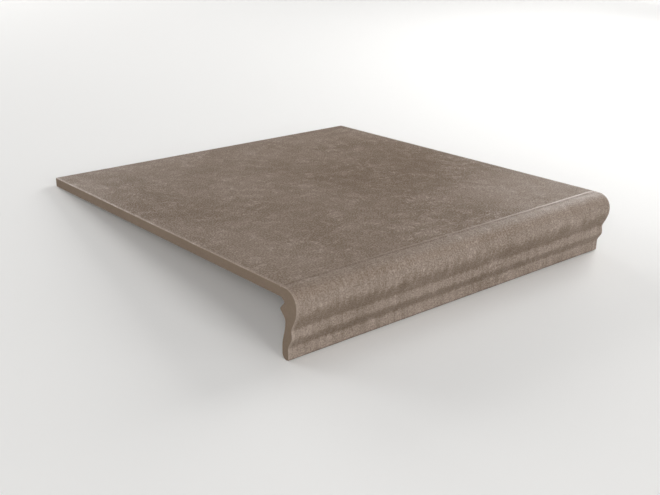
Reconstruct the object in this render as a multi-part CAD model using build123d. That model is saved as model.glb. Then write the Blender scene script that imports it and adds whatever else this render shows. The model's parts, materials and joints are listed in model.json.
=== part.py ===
"""Stair tread tile with a moulded nosing and a hanging skirt, extruded in one piece.

The tile is one constant section, drawn out along its nosing and cut square at both ends.
X runs along the nosing, Y from the nosing to the back edge, Z up. The tile is stored as it
lies unheld on a level floor: on the toe of its skirt and the lower edge of its back.
"""

from build123d import *
import math
import os

# Overall sizes, in millimetres.
tile_width = 330.0  # along the nosing
tread_depth = 345.0  # front of the nosing to the back edge
body_thickness = 8.0  # the flat of the tread
skirt_drop = 51.0  # top of the tread to the toe of the skirt

# Face of the nosing, from the tread down. A run is measured back from the front of the
# nosing. The heights stack up from the toe, and the sweep under the nose takes the rest.
nose_radius = 12.0
nose_under_radius = 20.0
cove_run = 5.5
cove_radius = 7.0
cove_to_bead = 3.6
bead_run = 5.1
bead_radius = 7.0
bead_to_lip = 10.2
lip_run = 9.2
lip_radius = 6.0
lip_height = 8.0

# Back of the nosing. The key is the ridge that grips the bedding mortar, and the throat is
# the slope from the underside into the hollow above it. A fall is measured down from the
# tread's top.
throat_step = 2.9
throat_angle = 37.0
throat_radius = 1.5
hollow_run = 13.5
hollow_radius = 1.1
key_run = 17.7
key_fall = 16.3
key_radius = 1.5
waist_run = 12.7
waist_fall = 24.2
waist_radius = 5.5
flank_radius = 20.0
flank_height = 8.5

# Toe of the skirt.
toe_thickness = 7.1
toe_front_radius = 2.0
toe_back_radius = 4.0

# Score line where the flat of the tread meets the nosing.
score_run = 16.0
score_width = 1.6
score_depth = 0.5

# Softened edges.
back_top_radius = 0.8
back_foot_radius = 0.6
end_radius = 0.6

arc_share = 0.999  # the most that two arcs take of their room, so a short straight stays
overrun = 1.0  # how far the scoring goes past each end

down = (0, -1)
forward = (-1, 0)


def fitted(first, second, room):
    """Two radii that share some room, both made smaller in step where they need more."""
    share = min(1.0, arc_share * room / (first + second))
    return first * share, second * share


def s_bend(start, run, fall, first_radius, second_radius):
    """Edges from start, heading down, to that run and fall, again heading down.

    Two arcs turn opposite ways with a straight between them that is tangent to both.
    """
    shift = run - start.X
    drop = fall + start.Y
    side = math.copysign(1, shift)
    shift = abs(shift)
    room = (shift**2 + drop**2) / (2 * shift)
    first, second = fitted(first_radius, second_radius, room)
    both = first + second
    straight = math.sqrt((shift - both) ** 2 + drop**2 - both**2)
    turn = math.degrees(math.atan2(shift - both, drop) + math.atan2(both, straight))
    into = JernArc(start, down, first, side * turn)
    across = PolarLine(into @ 1, straight, direction=into % 1)
    out = JernArc(across @ 1, across % 1, second, -side * turn)
    return [into, across, out]


def nosing_face():
    """Edges of the seen face: tread top, nose, cove, bead and lip, down to the toe."""
    lip_fall = skirt_drop - lip_height
    bead_fall = lip_fall - bead_to_lip
    cove_fall = bead_fall - cove_to_bead
    top = Line((tread_depth - back_top_radius, 0), (nose_radius, 0))
    nose = JernArc(top @ 1, forward, nose_radius, 90)
    under = s_bend(nose @ 1, cove_run, cove_fall, nose_under_radius, cove_radius)
    bead = s_bend(under[-1] @ 1, bead_run, bead_fall, cove_radius, bead_radius)
    lip = s_bend(bead[-1] @ 1, lip_run, lip_fall, bead_radius, lip_radius)
    return [top, nose, *under, *bead, *lip]


def nosing_back():
    """Edges of the hidden face: underside, throat, hollow, key, waist and flank."""
    turn = math.radians(throat_angle)
    ease = throat_radius * math.tan(turn / 2)
    underside = Line(
        (tread_depth - back_foot_radius, -body_thickness),
        (hollow_run + throat_step + ease, -body_thickness),
    )
    bend = JernArc(underside @ 1, forward, throat_radius, throat_angle)
    slope_end = hollow_run + hollow_radius * (1 - math.sin(turn))
    slope = PolarLine(
        bend @ 1, ((bend @ 1).X - slope_end) / math.cos(turn), direction=bend % 1
    )
    hollow = JernArc(slope @ 1, slope % 1, hollow_radius, 90 - throat_angle)
    key = s_bend(hollow @ 1, key_run, key_fall, hollow_radius, key_radius)
    waist = s_bend(key[-1] @ 1, waist_run, waist_fall, key_radius, waist_radius)
    skirt_back = lip_run + toe_thickness
    flank_fall = skirt_drop - flank_height
    flank = s_bend(waist[-1] @ 1, skirt_back, flank_fall, flank_radius, flank_radius)
    return [underside, bend, slope, hollow, *key, *waist, *flank]


def toe_radii():
    """Front and back radii of the toe, which fit side by side in its thickness."""
    return fitted(toe_front_radius, toe_back_radius, toe_thickness)


def toe(front, back):
    """Edges that close the foot of the skirt, from its front face to its back."""
    front_radius, back_radius = toe_radii()
    front_drop = Line(front, (front.X, front_radius - skirt_drop))
    front_round = JernArc(front_drop @ 1, down, front_radius, 90)
    back_drop = Line(back, (back.X, back_radius - skirt_drop))
    back_round = JernArc(back_drop @ 1, down, back_radius, -90)
    foot = Line(front_round @ 1, back_round @ 1)
    return [front_drop, front_round, foot, back_round, back_drop]


def back_edge(top, foot):
    """Edges of the square back edge, from the tread's top to its underside."""
    top_round = JernArc(top, (1, 0), back_top_radius, -90)
    foot_round = JernArc(foot, (1, 0), back_foot_radius, 90)
    upright = Line(top_round @ 1, foot_round @ 1)
    return [top_round, upright, foot_round]


def section():
    """The whole section as one face in the YZ plane, nosing at Y = 0, tread top at Z = 0."""
    face = nosing_face()
    back = nosing_back()
    edges = [*face, *toe(face[-1] @ 1, back[-1] @ 1), *back]
    edges += back_edge(face[0] @ 0, back[0] @ 0)
    return Plane.YZ * make_face(edges)


def score_line():
    """The shallow V that is scored across the tread where the nosing starts."""
    half = score_width / 2
    proud = score_depth
    rise = half * (score_depth + proud) / score_depth
    notch = Polyline(
        (score_run, -score_depth),
        (score_run + rise, proud),
        (score_run - rise, proud),
        close=True,
    )
    return extrude(Plane.YZ * make_face(notch.edges()), tile_width / 2 + overrun, both=True)


def rest_angle():
    """Degrees that the back drops by until the back edge's foot meets the floor.

    It is the slope of the line that touches both the toe's back round and the foot round.
    """
    toe_round = toe_radii()[1]
    toe_run = lip_run + toe_thickness - toe_round
    run = tread_depth - back_foot_radius - toe_run
    rise = skirt_drop - toe_round - body_thickness + back_foot_radius
    lean = math.atan2(rise, run) + math.asin((toe_round - back_foot_radius) / math.hypot(run, rise))
    return math.degrees(lean)


def tread_tile():
    """The tile as it lies on the floor, its box centred on X and Y, its lowest point at Z 0."""
    blank = extrude(section(), tile_width / 2, both=True)
    ends = blank.faces().filter_by(Axis.X)
    blank = fillet(ends.edges(), end_radius)
    tile = Rot(X=-rest_angle()) * (blank - score_line())
    box = tile.bounding_box()
    return Pos(-box.center().X, -box.center().Y, -box.min.Z) * tile


def main():
    os.makedirs("parts", exist_ok=True)
    tile = tread_tile()
    export_step(tile, "parts/tread_tile.step")
    box = tile.bounding_box()
    print("rest angle", round(rest_angle(), 3))
    print("box", box.min, box.max, "volume", round(tile.volume))


main()
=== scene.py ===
"""Looks of a stair tread tile: an extruded stoneware tread with a moulded nosing and skirt.

The tile is drawn again as one fine mesh on the same section as the solid it stands for, with
the unevenness of its matt glazed face, the score line behind the nosing and soft arrises.
"""

import json
import math

import bpy
import numpy as np
from mathutils import Matrix, Vector, noise


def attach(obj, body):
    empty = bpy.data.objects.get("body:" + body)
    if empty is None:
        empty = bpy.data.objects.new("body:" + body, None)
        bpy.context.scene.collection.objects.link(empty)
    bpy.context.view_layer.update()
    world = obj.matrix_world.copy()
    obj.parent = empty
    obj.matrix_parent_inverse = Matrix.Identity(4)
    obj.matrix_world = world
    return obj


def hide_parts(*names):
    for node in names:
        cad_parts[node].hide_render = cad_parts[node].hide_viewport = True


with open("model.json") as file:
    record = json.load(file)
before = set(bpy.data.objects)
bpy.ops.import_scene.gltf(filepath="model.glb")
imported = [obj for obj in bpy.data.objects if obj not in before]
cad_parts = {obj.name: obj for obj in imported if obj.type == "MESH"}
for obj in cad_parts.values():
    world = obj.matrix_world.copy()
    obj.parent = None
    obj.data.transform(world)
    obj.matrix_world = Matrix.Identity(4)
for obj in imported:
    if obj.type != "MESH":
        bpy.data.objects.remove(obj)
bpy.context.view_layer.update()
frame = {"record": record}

MM = 0.001

# Overall sizes, in millimetres.
TILE_WIDTH = 330.0
TREAD_DEPTH = 345.0
BODY_THICKNESS = 8.0
SKIRT_DROP = 51.0

# Face of the nosing. A run is measured back from its front, a fall down from the tread's top,
# and the heights stack up from the toe.
NOSE_RADIUS, NOSE_UNDER_RADIUS = 12.0, 20.0
LIP_RUN, LIP_RADIUS, LIP_HEIGHT = 9.2, 6.0, 8.0
BEAD_RUN, BEAD_RADIUS, BEAD_TO_LIP = 5.1, 7.0, 10.2
COVE_RUN, COVE_RADIUS, COVE_TO_BEAD = 5.5, 7.0, 3.6
LIP_FALL = SKIRT_DROP - LIP_HEIGHT
BEAD_FALL = LIP_FALL - BEAD_TO_LIP
COVE_FALL = BEAD_FALL - COVE_TO_BEAD

# Back of the nosing, from the underside down to the toe.
THROAT_STEP, THROAT_ANGLE, THROAT_RADIUS = 2.9, 37.0, 1.5
HOLLOW_RUN, HOLLOW_RADIUS = 13.5, 1.1
KEY_RUN, KEY_FALL, KEY_RADIUS = 17.7, 16.3, 1.5
WAIST_RUN, WAIST_FALL, WAIST_RADIUS = 12.7, 24.2, 5.5
FLANK_RADIUS, FLANK_HEIGHT = 20.0, 8.5
TOE_THICKNESS, TOE_FRONT_RADIUS, TOE_BACK_RADIUS = 7.1, 2.0, 4.0
BACK_TOP_RADIUS, BACK_FOOT_RADIUS = 0.8, 0.6
END_RADIUS = 0.55
ARC_SHARE = 0.999  # the most that two arcs take of their room, so a short straight stays

# Score line across the tread. Its depth and place waver, and the clay on its nose side is
# thrown up a little. Shares are of the depth; the other sizes are in millimetres.
SCORE_RUN, SCORE_WIDTH, SCORE_DEPTH = 16.6, 1.7, 0.7
SCORE_DEPTH_SHARE, SCORE_DEPTH_WAVER, SCORE_DRIFT = 0.8, 0.35, 0.12
SCORE_LIP, SCORE_LIP_REACH = 0.3, 4.5

# A painted highlight lies pale on the arris behind the score line, the stronger the further to
# the right, and painted shade darkens the groove in front of it. The arrises of the tile's cut
# ends carry a painted highlight over a short reach from each end.
SEAM_RUN, SEAM_REACH, SEAM_HIGHLIGHT, SEAM_HIGHLIGHT_TO_RIGHT = 17.4, 1.3, 1.3, 1.2
GROOVE_RUN, GROOVE_REACH, GROOVE_SHADE = 15.4, 1.0, 0.2
END_HIGHLIGHT_REACH = 1.2

# Noise over the unrolled face, by how many millimetres across its largest marks are: the low
# waves of the whole face, the knots and downward runs of the nosing, the waver of the score
# line, and the soft clouds and patches in the glaze's colour.
WAVES = {"size": 55, "seed": 1.7, "octaves": 2}
KNOTS = {"size": 9, "seed": 4.1}
RUNS = {"size": 5, "stretch": 3.5, "seed": 8.3, "octaves": 2}
SCORE_WANDER = {"size": 14, "seed": 6.2}
CLOUDS = {"size": 160, "seed": 462.52, "octaves": 4, "fade": 0.6}
PATCHES = {"size": 110, "seed": 127.41, "fade": 0.8}

# Heights of that relief, in millimetres. The nosing is sunk so that it stays in the tile's box,
# and the knots are only KNOT_SHARE_ON_TOP as high above the turn of the nose.
WAVE_HEIGHT, KNOT_HEIGHT, RUN_HEIGHT, NOSING_SINK = 0.05, 0.13, 0.07, 0.1
KNOT_SHARE_ON_TOP = 0.4
NOSE_TURN = 2.0  # how far down the face starts to lean under
NOSING_RELIEF_RUN = 20.0  # where the nosing's relief starts, measured back from its front
TOE_FADE = 3.0  # height over the toe in which the nosing's relief dies out
ON_TOP = 0.01  # nearer than this to the tread's top, the face is on it

# Steps of the mesh, in millimetres.
FINE_STEP = 0.45  # round the nosing
SMALL_BEND_STEP = 0.25  # round the smallest bends
TREAD_STEP = 3.2  # over the flat of the tread and its underside
WIDTH_STEP = 2.2
SCORE_STEPS = 12  # across the score line
ARRIS_STEPS = 4

# The glaze's tones lie between a dark colour at DARK_TONE and a pale one at 1. Its pale marks
# come up to PALE_TONE. The dark is a little greyer on the front of the nosing.
GLAZE_DARK, FRONT_DARK, GLAZE_PALE = "553F24", "4F3F2D", "CCBDB2"
DARK_TONE, PALE_TONE = 0.08, 0.64

# Patterns in the glaze: millimetres across, levels of finer detail, how strong these are, and
# how far the marks are bent. The real grain is about 0.3 mm and too fine to show, so it is
# drawn four times as coarse.
GLAZE_PATTERNS = {
    "mottle": (12.0, 5, 0.62, 0.6),
    "flecks": (3.2, 1, 0.5, 0.3),
    "drifts": (45.0, 1, 0.5, 0.0),
    "grain": (1.2, 2, 0.6, 0.0),
    "streaks": (3.5, 2, 0.5, 0.0),
}
STREAK_SQUEEZE = 0.12  # scale of the streaks down the face, so that they run down it

# How the glaze answers to a pattern: the pattern, where in it the answer starts and ends, and
# the answer at each.
GLAZE_ANSWERS = {
    # The tone before any marks.
    "tone": ("clouded", -0.7, 0.7, 0.168, 0.326),
    # Shares of pale: soft spots, small flecks and the dry grain.
    "mottled": ("mottle", 0.44, 0.74, 0.0, 0.34),
    "flecked": ("flecks", 0.56, 0.64, 0.0, 1.0),
    "dusted": ("grain", 0.49, 0.64, 0.0, 0.4),
    # Where the spots are weaker, where the flecks gather, and where both are strongest.
    "evened": ("crown", 0.0, 1.0, 1.0, 0.5),
    "clustered": ("mottle", 0.44, 0.58, 0.05, 0.55),
    "in_drifts": ("drifts", 0.38, 0.6, 0.4, 1.0),
    # Shades: broad patches, painted shade where the face looks down, hollows between the grains,
    # pits, painted shade under the toe and painted shade in the groove.
    "patched": ("patches", -1.0, 0.75, 0.89, 1.12),
    "shaded_facing_down": ("ragged", 0.1, 0.48, 0.68, 1.0),
    "grained": ("grain", 0.36, 0.52, 0.78, 1.0),
    "pitted": ("grain", 0.68, 0.72, 1.0, 0.5),
    "shaded_under_toe": ("upward", -0.9, -0.55, 0.5, 1.0),
    "shaded_groove": ("painted_edge_light_and_groove_shade", -1.0, 0.0, 0.55, 1.0),
    # How much darker or paler a streak down the nosing is.
    "streak_shade": ("streaks", 0.3, 0.7, -0.1, 0.1),
    # Roughness of the dry glaze, and what single grains add to it.
    "roughness": ("mottle", 0.3, 0.7, 0.74, 0.62),
    "speckle": ("grain", 0.38, 0.6, 0.12, -0.12),
}
LOOKS_UP = 0.3, 0.8  # how far up the face looks where the crown of the nosing starts and ends
RAGGEDNESS = 0.5  # how far the mottle and the streaks fray the edge of the painted shade on faces that look down
NOSING_COAT = 0.25  # share of pale that the thicker glaze of the nosing adds
EDGE_HIGHLIGHT_PALE = 0.38  # share of pale painted on the arrises as a highlight
CROWN_GLOSS, RUBBED_GLOSS = 0.13, 0.3  # taken off the roughness there
# Strength of the grain's bump on the tread, what the nosing adds, and its height in millimetres.
TREAD_BUMP, NOSING_BUMP, GRAIN_HEIGHT = 0.1, 0.2, 0.5

# Bare fired clay. Grog and drag lines are finer than a pixel and are drawn coarser, so that
# they show.
BODY_DARK, BODY_PALE = "706153", "7B6C5E"
BODY_PATTERNS = {
    "grog": (1.2, 2, 0.6),
    "tone": (30.0, 3, 0.5),
    "drag_lines": (0.9, 3, 0.7),
}
GROG_SHADES = 0.3, 0.7, 0.94, 1.06  # where in the grog its shades start and end, and the two
DRAG_SQUEEZE = 0.02  # scale of the drag lines along the tile
DRAG_ON_BACK = 1.2  # height of the drag lines, as a share of the grog's
BODY_BUMP, GROG_HEIGHT = 0.25, 0.3  # strength, and millimetres

FIRED_IOR = 1.5  # of a glaze and of the glass in fired stoneware

# Soft lights over the tread as if it lay level: place, what it points at, side and watts.
SOFT_LIGHTS = {
    "overhead_light": ((165, 172, 1800), (165, 172, 0), 1600, 3),
    "front_left_light": ((-1300, -1300, 700), (165, 100, 0), 900, 20),
    "front_light": ((165, -1900, 500), (165, 20, 0), 900, 13),
    "front_right_light": ((1400, -1400, 330), (165, 20, 0), 900, 4),
    "right_light": ((1150, 150, 560), (330, 40, 0), 600, 6.5),
    "far_right_light": ((1831, 838, 424), (330, 40, 0), 700, 6),
    "back_light": ((300, 2000, 800), (165, 172, 0), 900, 15),
    "back_left_light": ((-900, 1700, 700), (165, 172, 0), 900, 15),
}
HORIZON_STRENGTH, ZENITH_STRENGTH = 0.95, 0.05
# Sines of how high the pale band at the horizon starts to fade, and of where it ends.
HORIZON_TOP, HORIZON_END = 0.08, 0.24

FLOOR_RADIUS = 1.9  # metres, so that the paper ends where the lights over it do
FLOOR_SIDES = 96

# Where the photo was taken from: the camera over the tread as if it lay level, measured from
# the left end of the nosing's front, and the way it looks, in degrees.
CAMERA_PLACE = (-333.4, -431.8, 225.8)
CAMERA_HEADING = 39.83
CAMERA_DIP = 19.77
FOCAL_PIXELS = 953.0
PHOTO_WIDTH = 660
SENSOR_WIDTH = 36.0
NEAREST, FURTHEST = 0.01, 60  # metres that the camera sees between


def bedding_normal():
    """Outward normal of the tile's underside, as the record gives it."""
    for mount in frame["record"]["mounts"]:
        if mount["name"] == "bedding":
            return Vector(mount["axis"])
    raise ValueError("the record has no bedding mount")


REST_ANGLE = math.asin(-bedding_normal().y)
LEAN = Matrix.Rotation(-REST_ANGLE, 4, "X")


class Outline:
    """A pen that draws a run of the section, as points close together."""

    def __init__(self, place, heading):
        self.place = np.array(place, float)
        self.heading = math.radians(heading)
        self.points = [self.place.copy()]

    def straight(self, length, step):
        steps = max(1, math.ceil(length / step))
        ahead = np.array([math.cos(self.heading), math.sin(self.heading)])
        for i in range(steps):
            self.points.append(self.place + ahead * length * (i + 1) / steps)
        self.place = self.points[-1].copy()

    def bend(self, radius, turn, step=FINE_STEP):
        """An arc of so many degrees, to the left where turn is above nought."""
        turn = math.radians(turn)
        side = math.copysign(1, turn)
        steps = max(3, math.ceil(radius * abs(turn) / step))
        left = np.array([-math.sin(self.heading), math.cos(self.heading)])
        centre = self.place + left * side * radius
        for i in range(steps):
            angle = self.heading + turn * (i + 1) / steps
            spoke = np.array([math.sin(angle), -math.cos(angle)])
            self.points.append(centre + side * radius * spoke)
        self.heading += turn
        self.place = self.points[-1].copy()

    def s_bend(self, run, fall, first, second):
        """Two opposite arcs and the straight between them, heading down at both ends."""
        shift = run - self.place[0]
        drop = fall + self.place[1]
        side = math.copysign(1, shift)
        shift = abs(shift)
        room = (shift**2 + drop**2) / (2 * shift) * ARC_SHARE
        share = min(1.0, room / (first + second))
        first, second = first * share, second * share
        both = first + second
        straight = math.sqrt((shift - both) ** 2 + drop**2 - both**2)
        turn = math.degrees(math.atan2(shift - both, drop) + math.atan2(both, straight))
        self.bend(first, side * turn)
        self.straight(straight, FINE_STEP)
        self.bend(second, -side * turn)

    def down_to(self, fall):
        self.straight(self.place[1] + fall, FINE_STEP)


def draw_section():
    """Points of the closed section and, for each, whether it is on the glazed face.

    It starts at the back, on the tread's top, and goes forward over the nosing.
    """
    pen = Outline((TREAD_DEPTH, -BACK_TOP_RADIUS), 90)
    pen.bend(BACK_TOP_RADIUS, 90, SMALL_BEND_STEP)
    fine_run = SEAM_RUN + SEAM_REACH
    pen.straight(TREAD_DEPTH - BACK_TOP_RADIUS - fine_run, TREAD_STEP)
    pen.straight(fine_run - NOSE_RADIUS, SCORE_WIDTH / SCORE_STEPS)
    pen.bend(NOSE_RADIUS, 90)
    pen.s_bend(COVE_RUN, COVE_FALL, NOSE_UNDER_RADIUS, COVE_RADIUS)
    pen.s_bend(BEAD_RUN, BEAD_FALL, COVE_RADIUS, BEAD_RADIUS)
    pen.s_bend(LIP_RUN, LIP_FALL, BEAD_RADIUS, LIP_RADIUS)
    pen.down_to(SKIRT_DROP - TOE_FRONT_RADIUS)
    pen.bend(TOE_FRONT_RADIUS, 90)
    face_end = len(pen.points)
    pen.straight(TOE_THICKNESS - TOE_FRONT_RADIUS - TOE_BACK_RADIUS, FINE_STEP)
    pen.bend(TOE_BACK_RADIUS, 90)
    front = np.array(pen.points)

    turn = math.radians(THROAT_ANGLE)
    ease = THROAT_RADIUS * math.tan(turn / 2)
    slope_end = HOLLOW_RUN + HOLLOW_RADIUS * (1 - math.sin(turn))
    back = Outline((TREAD_DEPTH, -BACK_TOP_RADIUS), -90)
    back.straight(BODY_THICKNESS - BACK_TOP_RADIUS - BACK_FOOT_RADIUS, FINE_STEP)
    back.bend(BACK_FOOT_RADIUS, -90, SMALL_BEND_STEP)
    back.straight(back.place[0] - HOLLOW_RUN - THROAT_STEP - ease, TREAD_STEP)
    back.bend(THROAT_RADIUS, THROAT_ANGLE)
    back.straight((back.place[0] - slope_end) / math.cos(turn), FINE_STEP)
    back.bend(HOLLOW_RADIUS, 90 - THROAT_ANGLE, SMALL_BEND_STEP)
    back.s_bend(KEY_RUN, KEY_FALL, HOLLOW_RADIUS, KEY_RADIUS)
    back.s_bend(WAIST_RUN, WAIST_FALL, KEY_RADIUS, WAIST_RADIUS)
    back.s_bend(LIP_RUN + TOE_THICKNESS, SKIRT_DROP - FLANK_HEIGHT, FLANK_RADIUS, FLANK_RADIUS)
    back.down_to(SKIRT_DROP - TOE_BACK_RADIUS)
    behind = np.array(back.points)[1:-1][::-1]

    loop = np.vstack([front, behind])
    glazed = np.arange(len(loop)) < face_end
    return loop, glazed


def outward(loop):
    """Unit normals of the closed section, pointing out of the clay."""
    along = np.roll(loop, -1, axis=0) - np.roll(loop, 1, axis=0)
    normal = np.stack([along[:, 1], -along[:, 0]], axis=1)
    return normal / np.linalg.norm(normal, axis=1)[:, None]


def smooth_step(low, high, value):
    share = np.clip((value - low) / (high - low), 0, 1)
    return share * share * (3 - 2 * share)


def cloud(x, y, size, stretch=1.0, seed=0.0, octaves=3, fade=1.0):
    """Fractal noise from about -1 to 1 over the unrolled face, all in millimetres.

    Each octave is half the size of the last, and fade is how fast the octaves weaken.
    """
    place = Vector((x / size, y / size / stretch, seed))
    return noise.fractal(place, fade, 2.0, octaves)


def score_height(run, wander):
    """Height of the tread's surface across the score line, wander being its drift there."""
    offset = run - SCORE_RUN
    half = SCORE_WIDTH / 2
    depth = SCORE_DEPTH * (SCORE_DEPTH_SHARE + SCORE_DEPTH_WAVER * wander)
    groove = -depth * np.clip(1 - np.abs(offset + SCORE_DRIFT * wander) / half, 0, 1)
    lip = np.where(
        offset < 0,
        np.clip(1 + offset / SCORE_LIP_REACH, 0, 1) ** 2 * smooth_step(0, half, -offset),
        0,
    )
    return groove + SCORE_LIP * lip


def seam_light_and_shade(run, level, x):
    """Painted highlight behind the score line, or below nought painted shade in its groove."""
    if level < -BACK_TOP_RADIUS:
        return 0.0
    # painted highlight on the arris behind the score line, stronger towards the right
    edge_light = SEAM_HIGHLIGHT * (1 + SEAM_HIGHLIGHT_TO_RIGHT * x / TILE_WIDTH)
    painted_groove_shade = GROOVE_SHADE * max(0.0, 1 - abs(run - GROOVE_RUN) / GROOVE_REACH)
    return edge_light * max(0.0, 1 - abs(run - SEAM_RUN) / SEAM_REACH) - painted_groove_shade


def face_relief(loop, girth, glazed, x):
    """How far the glazed face stands off its drawn section at one place along the tile."""
    height = np.zeros(len(loop))
    for i in np.nonzero(glazed)[0]:
        run, level = loop[i]
        height[i] = WAVE_HEIGHT * cloud(x, girth[i], **WAVES) - WAVE_HEIGHT
        nosing = float(smooth_step(NOSING_RELIEF_RUN, NOSE_RADIUS, run))
        nosing *= float(smooth_step(-SKIRT_DROP, -SKIRT_DROP + TOE_FADE, level))
        if nosing > 0:
            under_nose = float(smooth_step(-NOSE_TURN, -NOSE_RADIUS, level))
            share = KNOT_SHARE_ON_TOP + (1 - KNOT_SHARE_ON_TOP) * under_nose
            knots = KNOT_HEIGHT * cloud(x, girth[i], **KNOTS) * share
            runs = RUN_HEIGHT * cloud(x, girth[i], **RUNS)
            height[i] += nosing * (knots + runs - NOSING_SINK)
        if run < SCORE_RUN + SCORE_WIDTH and level > -ON_TOP:
            height[i] += float(score_height(run, cloud(x, 0, **SCORE_WANDER)))
    return height


def columns():
    """Places along the tile's width, and how far the section shrinks there at the arrises."""
    half = TILE_WIDTH / 2
    angles = np.linspace(0, math.pi / 2, ARRIS_STEPS + 1)
    arris = half - END_RADIUS + END_RADIUS * np.sin(angles)
    shrink = END_RADIUS * (1 - np.cos(angles))
    inner = half - END_RADIUS
    steps = math.ceil(2 * inner / WIDTH_STEP)
    middle = np.linspace(-inner, inner, steps + 1)[1:-1]
    x = np.concatenate([-arris[::-1], middle, arris])
    inset = np.concatenate([shrink[::-1], np.zeros(len(middle)), shrink])
    return x, inset


def stored_place(loop):
    """Matrix that takes the section's own frame, in millimetres, to where the tile lies."""
    corners = [LEAN @ Vector((0, run, level)) for run, level in loop]
    middle = (min(c.y for c in corners) + max(c.y for c in corners)) / 2
    lowest = min(c.z for c in corners)
    return Matrix.Scale(MM, 4) @ Matrix.Translation((0, -middle, -lowest)) @ LEAN


# Material slots of the tile's mesh.
GLAZE, CUT_END, UNDERSIDE = range(3)


def build_tile(loop, glazed, place):
    """The whole tile as one closed mesh.

    Stored on it are its unrolled face, the painted highlight on its arrises and painted shade
    in its groove, how far up it looks, and the clouds and patches of its glaze.
    """
    normal = outward(loop)
    facing = normal[:, 1]
    lengths = np.linalg.norm(np.diff(loop, axis=0), axis=1)
    girth = np.concatenate([[0], np.cumsum(lengths)])
    count = len(loop)
    half = TILE_WIDTH / 2
    xs, insets = columns()
    vertices, unrolled = [], []
    marks = {"painted_edge_light_and_groove_shade": [], "upward": [], "clouded": [], "patches": []}
    for x, inset in zip(xs, insets):
        relief = face_relief(loop, girth, glazed, x)
        ring = loop + normal * (relief - inset)[:, None]
        # painted highlight on the arrises of the cut ends
        at_end = max(0.0, 1 - (half - abs(x)) / END_HIGHLIGHT_REACH)
        for i in range(count):
            vertices.append(place @ Vector((x, ring[i, 0], ring[i, 1])))
            unrolled += [x * MM, girth[i] * MM, 0]
            marks["painted_edge_light_and_groove_shade"].append(at_end + (1 - at_end) * seam_light_and_shade(*loop[i], x))
            marks["upward"].append(facing[i])
            marks["clouded"].append(cloud(x, girth[i], **CLOUDS))
            marks["patches"].append(cloud(x, girth[i], **PATCHES))
    faces, slots = [], []
    for j in range(len(xs) - 1):
        here, there = j * count, (j + 1) * count
        for i in range(count):
            k = (i + 1) % count
            faces.append((here + i, here + k, there + k, there + i))
            slots.append(GLAZE if glazed[i] and glazed[k] else UNDERSIDE)
    last = (len(xs) - 1) * count
    faces.append(tuple(range(count))[::-1])
    faces.append(tuple(range(last, last + count)))
    slots += [CUT_END, CUT_END]

    mesh = bpy.data.meshes.new("tread_tile_dressed")
    mesh.from_pydata(vertices, [], faces)
    mesh.polygons.foreach_set("material_index", slots)
    mesh.polygons.foreach_set("use_smooth", [slot != CUT_END for slot in slots])
    mesh.attributes.new("unrolled", "FLOAT_VECTOR", "POINT").data.foreach_set("vector", unrolled)
    for name, values in marks.items():
        mesh.attributes.new(name, "FLOAT", "POINT").data.foreach_set("value", values)
    mesh.update()
    tile = bpy.data.objects.new("tread_tile_dressed", mesh)
    bpy.context.scene.collection.objects.link(tile)
    return tile


def linear(hex_colour):
    """An sRGB colour such as 7A6C60 as linear red, green, blue and alpha."""
    channels = [int(hex_colour[i : i + 2], 16) / 255 for i in (0, 2, 4)]
    curve = [c / 12.92 if c <= 0.04045 else ((c + 0.055) / 1.055) ** 2.4 for c in channels]
    return (*curve, 1.0)


def per_metre(size):
    """Scale of a pattern whose marks are so many millimetres across."""
    return 1 / (size * MM)


def add(tree, kind, inputs=None, **settings):
    """A node of that kind with its settings; an input is a value or another node's output."""
    made = tree.nodes.new(kind)
    for name, value in settings.items():
        setattr(made, name, value)
    for socket, value in (inputs or {}).items():
        if isinstance(value, bpy.types.NodeSocket):
            tree.links.new(value, made.inputs[socket])
        else:
            made.inputs[socket].default_value = value
    return made


# Sockets of a Mix node that mixes colours. The Math, Map Range and plain Mix nodes below go by
# the order of their inputs too.
FACTOR, FIRST, SECOND, MIXED = 0, 6, 7, 2


def new_material(name):
    material = bpy.data.materials.new(name)
    material.use_nodes = True
    material.node_tree.nodes.clear()
    return material, material.node_tree


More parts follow.
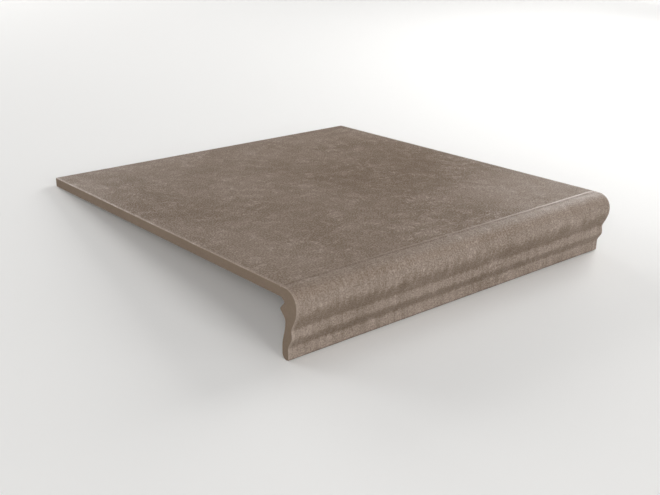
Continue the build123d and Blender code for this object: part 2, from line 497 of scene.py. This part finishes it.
def matt_glaze():
    """Stoneware under a sprayed matt glaze: a cloudy taupe with paler flecks and a dry grain.

    The nosing took the most glaze and is the palest. The sweeps that look down, and the toe,
    carry painted shade with ragged edges, and there are a few dark pits. A painted highlight
    lies pale on the arris behind the score line, stronger to the right, and on the arrises of the
    cut ends, and painted shade darkens the groove in front of the score line. It never mirrors:
    a broad soft sheen lies only on the crown of the nosing and on those arrises, where it is
    smoothest, and it breaks up in the grain.
    """
    material, tree = new_material("matt_glazed_stoneware")
    laid = add(tree, "ShaderNodeAttribute", attribute_name="unrolled").outputs["Vector"]
    drawn_out = add(
        tree, "ShaderNodeMapping", {"Vector": laid, "Scale": (1, STREAK_SQUEEZE, 1)}
    ).outputs[0]
    seen = {}
    for name in ("painted_edge_light_and_groove_shade", "upward", "clouded", "patches"):
        seen[name] = add(tree, "ShaderNodeAttribute", attribute_name=name).outputs["Fac"]
    for name, (size, detail, strength, bent) in GLAZE_PATTERNS.items():
        seen[name] = add(
            tree,
            "ShaderNodeTexNoise",
            {
                "Vector": drawn_out if name == "streaks" else laid,
                "Scale": per_metre(size),
                "Detail": detail,
                "Roughness": strength,
                "Distortion": bent,
            },
        ).outputs[0]

    along = add(tree, "ShaderNodeSeparateXYZ", {0: laid}).outputs["Y"]
    nosing = add(
        tree,
        "ShaderNodeMapRange",
        {0: along, 1: (TREAD_DEPTH - SCORE_RUN) * MM, 2: (TREAD_DEPTH - NOSE_RADIUS) * MM},
        interpolation_type="SMOOTHSTEP",
    ).outputs[0]
    looks_up = add(
        tree, "ShaderNodeMapRange", {0: seen["upward"], 1: LOOKS_UP[0], 2: LOOKS_UP[1]}
    ).outputs[0]
    crown = add(tree, "ShaderNodeMath", {0: nosing, 1: looks_up}, operation="MULTIPLY").outputs[0]
    front = add(tree, "ShaderNodeMath", {0: nosing, 1: crown}, operation="SUBTRACT").outputs[0]
    # where the face looks down the tone is darkened as painted shade, its edge frayed by the
    # mottle and the streaks
    ragged = seen["upward"]
    for name in ("mottle", "streaks"):
        frayed = {0: seen[name], 1: RAGGEDNESS, 2: ragged}
        ragged = add(tree, "ShaderNodeMath", frayed, operation="MULTIPLY_ADD").outputs[0]
    seen.update(crown=crown, ragged=ragged)

    answer = {}
    for name, (pattern, start, end, at_start, at_end) in GLAZE_ANSWERS.items():
        spread = {0: seen[pattern], 1: start, 2: end, 3: at_start, 4: at_end}
        answer[name] = add(tree, "ShaderNodeMapRange", spread).outputs[0]

    for mark, held in (
        ("mottled", "evened"),
        ("flecked", "clustered"),
        ("mottled", "in_drifts"),
        ("flecked", "in_drifts"),
    ):
        both = {0: answer[mark], 1: answer[held]}
        answer[mark] = add(tree, "ShaderNodeMath", both, operation="MULTIPLY").outputs[0]
    answer["coated"] = add(
        tree, "ShaderNodeMath", {0: nosing, 1: NOSING_COAT}, operation="MULTIPLY"
    ).outputs[0]
    answer["streaked"] = add(
        tree,
        "ShaderNodeMath",
        {0: answer["streak_shade"], 1: nosing, 2: 1},
        operation="MULTIPLY_ADD",
    ).outputs[0]

    tone = answer["tone"]
    for pale in ("mottled", "flecked", "coated", "dusted"):
        tone = add(tree, "ShaderNodeMix", {0: answer[pale], 2: tone, 3: PALE_TONE}).outputs[0]
    # among these, painted shade where the face looks down, under the toe and in the groove
    for shade in (
        "patched",
        "shaded_facing_down",
        "streaked",
        "grained",
        "pitted",
        "shaded_under_toe",
        "shaded_groove",
    ):
        both = {0: tone, 1: answer[shade]}
        tone = add(tree, "ShaderNodeMath", both, operation="MULTIPLY").outputs[0]
    # painted highlight: the arrises are mixed towards pale
    edge_lit = add(
        tree, "ShaderNodeMath", {0: seen["painted_edge_light_and_groove_shade"], 1: EDGE_HIGHLIGHT_PALE}, operation="MULTIPLY"
    ).outputs[0]
    tone = add(tree, "ShaderNodeMix", {0: edge_lit, 2: tone, 3: PALE_TONE}).outputs[0]
    paleness = add(tree, "ShaderNodeMapRange", {0: tone, 1: DARK_TONE, 2: 1}).outputs[0]
    dark = add(
        tree,
        "ShaderNodeMix",
        {FACTOR: front, FIRST: linear(GLAZE_DARK), SECOND: linear(FRONT_DARK)},
        data_type="RGBA",
    ).outputs[MIXED]
    colour = add(
        tree,
        "ShaderNodeMix",
        {FACTOR: paleness, FIRST: dark, SECOND: linear(GLAZE_PALE)},
        data_type="RGBA",
    ).outputs[MIXED]

    bump = add(
        tree,
        "ShaderNodeMath",
        {0: nosing, 1: NOSING_BUMP, 2: TREAD_BUMP},
        operation="MULTIPLY_ADD",
    ).outputs[0]
    bumped = add(
        tree,
        "ShaderNodeBump",
        {"Strength": bump, "Distance": GRAIN_HEIGHT * MM, "Height": seen["grain"]},
    ).outputs["Normal"]

    edge_light = add(
        tree, "ShaderNodeMath", {0: seen["painted_edge_light_and_groove_shade"], 1: 0}, operation="MAXIMUM"
    ).outputs[0]
    rough = answer["roughness"]
    for place, gloss in ((crown, CROWN_GLOSS), (edge_light, RUBBED_GLOSS)):
        smoothed = {0: place, 1: -gloss, 2: rough}
        rough = add(tree, "ShaderNodeMath", smoothed, operation="MULTIPLY_ADD").outputs[0]
    rough = add(
        tree, "ShaderNodeMath", {0: rough, 1: answer["speckle"]}, operation="ADD"
    ).outputs[0]

    # The fine crystals of a matt glaze scatter most of what a smooth one would mirror, so the
    # specular level is half of what its IOR gives, and the clay under it warms it a little.
    shader = add(
        tree,
        "ShaderNodeBsdfPrincipled",
        {
            "Base Color": colour,
            "Roughness": rough,
            "IOR": FIRED_IOR,
            "Specular IOR Level": 0.24,
            "Specular Tint": linear("FFF1E9"),
            "Normal": bumped,
        },
    )
    add(tree, "ShaderNodeOutputMaterial", {"Surface": shader.outputs[0]})
    return material


def fired_body(name, drag):
    """Bare fired stoneware: an even warm brown, quite dull, with fine grog in it.

    Where it came out of the die, drag is how strongly the long fine drag lines show.
    """
    material, tree = new_material(name)
    place = add(tree, "ShaderNodeTexCoord").outputs["Object"]
    drawn_out = add(
        tree, "ShaderNodeMapping", {"Vector": place, "Scale": (DRAG_SQUEEZE, 1, 1)}
    ).outputs[0]
    seen = {}
    for pattern, (size, detail, strength) in BODY_PATTERNS.items():
        seen[pattern] = add(
            tree,
            "ShaderNodeTexNoise",
            {
                "Vector": drawn_out if pattern == "drag_lines" else place,
                "Scale": per_metre(size),
                "Detail": detail,
                "Roughness": strength,
            },
        ).outputs[0]
    colour = add(
        tree,
        "ShaderNodeMix",
        {FACTOR: seen["tone"], FIRST: linear(BODY_DARK), SECOND: linear(BODY_PALE)},
        data_type="RGBA",
    ).outputs[MIXED]
    start, end, at_start, at_end = GROG_SHADES
    specks = add(
        tree,
        "ShaderNodeMapRange",
        {0: seen["grog"], 1: start, 2: end, 3: at_start, 4: at_end},
    ).outputs[0]
    speckled = add(
        tree,
        "ShaderNodeMix",
        {FACTOR: 1.0, FIRST: colour, SECOND: specks},
        data_type="RGBA",
        blend_type="MULTIPLY",
    ).outputs[MIXED]
    relief = add(
        tree,
        "ShaderNodeMath",
        {0: seen["drag_lines"], 1: drag, 2: seen["grog"]},
        operation="MULTIPLY_ADD",
    ).outputs[0]
    bumped = add(
        tree,
        "ShaderNodeBump",
        {"Strength": BODY_BUMP, "Distance": GROG_HEIGHT * MM, "Height": relief},
    ).outputs[0]
    shader = add(
        tree,
        "ShaderNodeBsdfPrincipled",
        {
            "Base Color": speckled,
            "Roughness": 0.8,
            "IOR": FIRED_IOR,
            "Specular IOR Level": 0.12,
            "Normal": bumped,
        },
    )
    add(tree, "ShaderNodeOutputMaterial", {"Surface": shader.outputs[0]})
    return material


def pale_floor():
    """A disc of plain studio paper under the tile: near white and without gloss."""
    bpy.ops.mesh.primitive_circle_add(
        vertices=FLOOR_SIDES, radius=FLOOR_RADIUS, fill_type="NGON"
    )
    floor = bpy.context.object
    floor.name = "studio_floor"
    material, tree = new_material("studio_paper")
    shader = add(
        tree,
        "ShaderNodeBsdfPrincipled",
        {"Base Color": linear("F6F5F3"), "Roughness": 0.9, "Specular IOR Level": 0.1},
    )
    add(tree, "ShaderNodeOutputMaterial", {"Surface": shader.outputs[0]})
    floor.data.materials.append(material)


def to_world(place):
    """A place given from the left end of the nosing's front, over the level tread."""
    return stored @ Vector((place[0] - TILE_WIDTH / 2, place[1], place[2]))


def soft_light(name, place, at, size, power):
    """A square softbox over the tread as if it lay level, in millimetres and watts."""
    light = bpy.data.lights.new(name, "AREA")
    light.size = size * MM
    light.energy = power
    lamp = bpy.data.objects.new(name, light)
    bpy.context.scene.collection.objects.link(lamp)
    towards = (to_world(at) - to_world(place)).normalized()
    lamp.location = to_world(place)
    lamp.rotation_euler = towards.to_track_quat("-Z", "Y").to_euler()


def studio():
    """The soft lights, and a world that is pale round the horizon and dim overhead."""
    world = bpy.data.worlds.new("studio")
    bpy.context.scene.world = world
    world.use_nodes = True
    tree = world.node_tree
    view = add(tree, "ShaderNodeTexCoord").outputs["Generated"]
    height = add(tree, "ShaderNodeSeparateXYZ", {0: view}).outputs["Z"]
    fall_off = add(
        tree,
        "ShaderNodeMapRange",
        {0: height, 1: HORIZON_TOP, 2: HORIZON_END, 3: HORIZON_STRENGTH, 4: ZENITH_STRENGTH},
    ).outputs[0]
    tree.nodes["Background"].inputs["Color"].default_value = linear("FFFFFF")
    tree.links.new(fall_off, tree.nodes["Background"].inputs["Strength"])
    for name, (place, at, size, power) in SOFT_LIGHTS.items():
        soft_light(name, place, at, size, power)
    bpy.context.scene.view_settings.view_transform = "Standard"


def photo_camera():
    """The photo's camera. Its heading is turned from straight back towards the right."""
    data = bpy.data.cameras.new("photo_camera")
    data.sensor_width = SENSOR_WIDTH
    data.lens = FOCAL_PIXELS * SENSOR_WIDTH / PHOTO_WIDTH
    data.clip_start = NEAREST
    data.clip_end = FURTHEST
    camera = bpy.data.objects.new("photo_camera", data)
    bpy.context.scene.collection.objects.link(camera)
    heading = Matrix.Rotation(math.radians(-CAMERA_HEADING), 4, "Z")
    look = heading @ Matrix.Rotation(math.radians(90 - CAMERA_DIP), 4, "X")
    camera.matrix_world = Matrix.Translation(to_world(CAMERA_PLACE)) @ LEAN @ look
    bpy.context.scene.camera = camera


section, on_face = draw_section()
stored = stored_place(section)
dressed = build_tile(section, on_face, stored)
dressed.data.materials.append(matt_glaze())
dressed.data.materials.append(fired_body("cut_stoneware_end", 0.0))
dressed.data.materials.append(fired_body("extruded_stoneware_back", DRAG_ON_BACK))
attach(dressed, "root")
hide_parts("tread_tile")
pale_floor()
studio()
photo_camera()
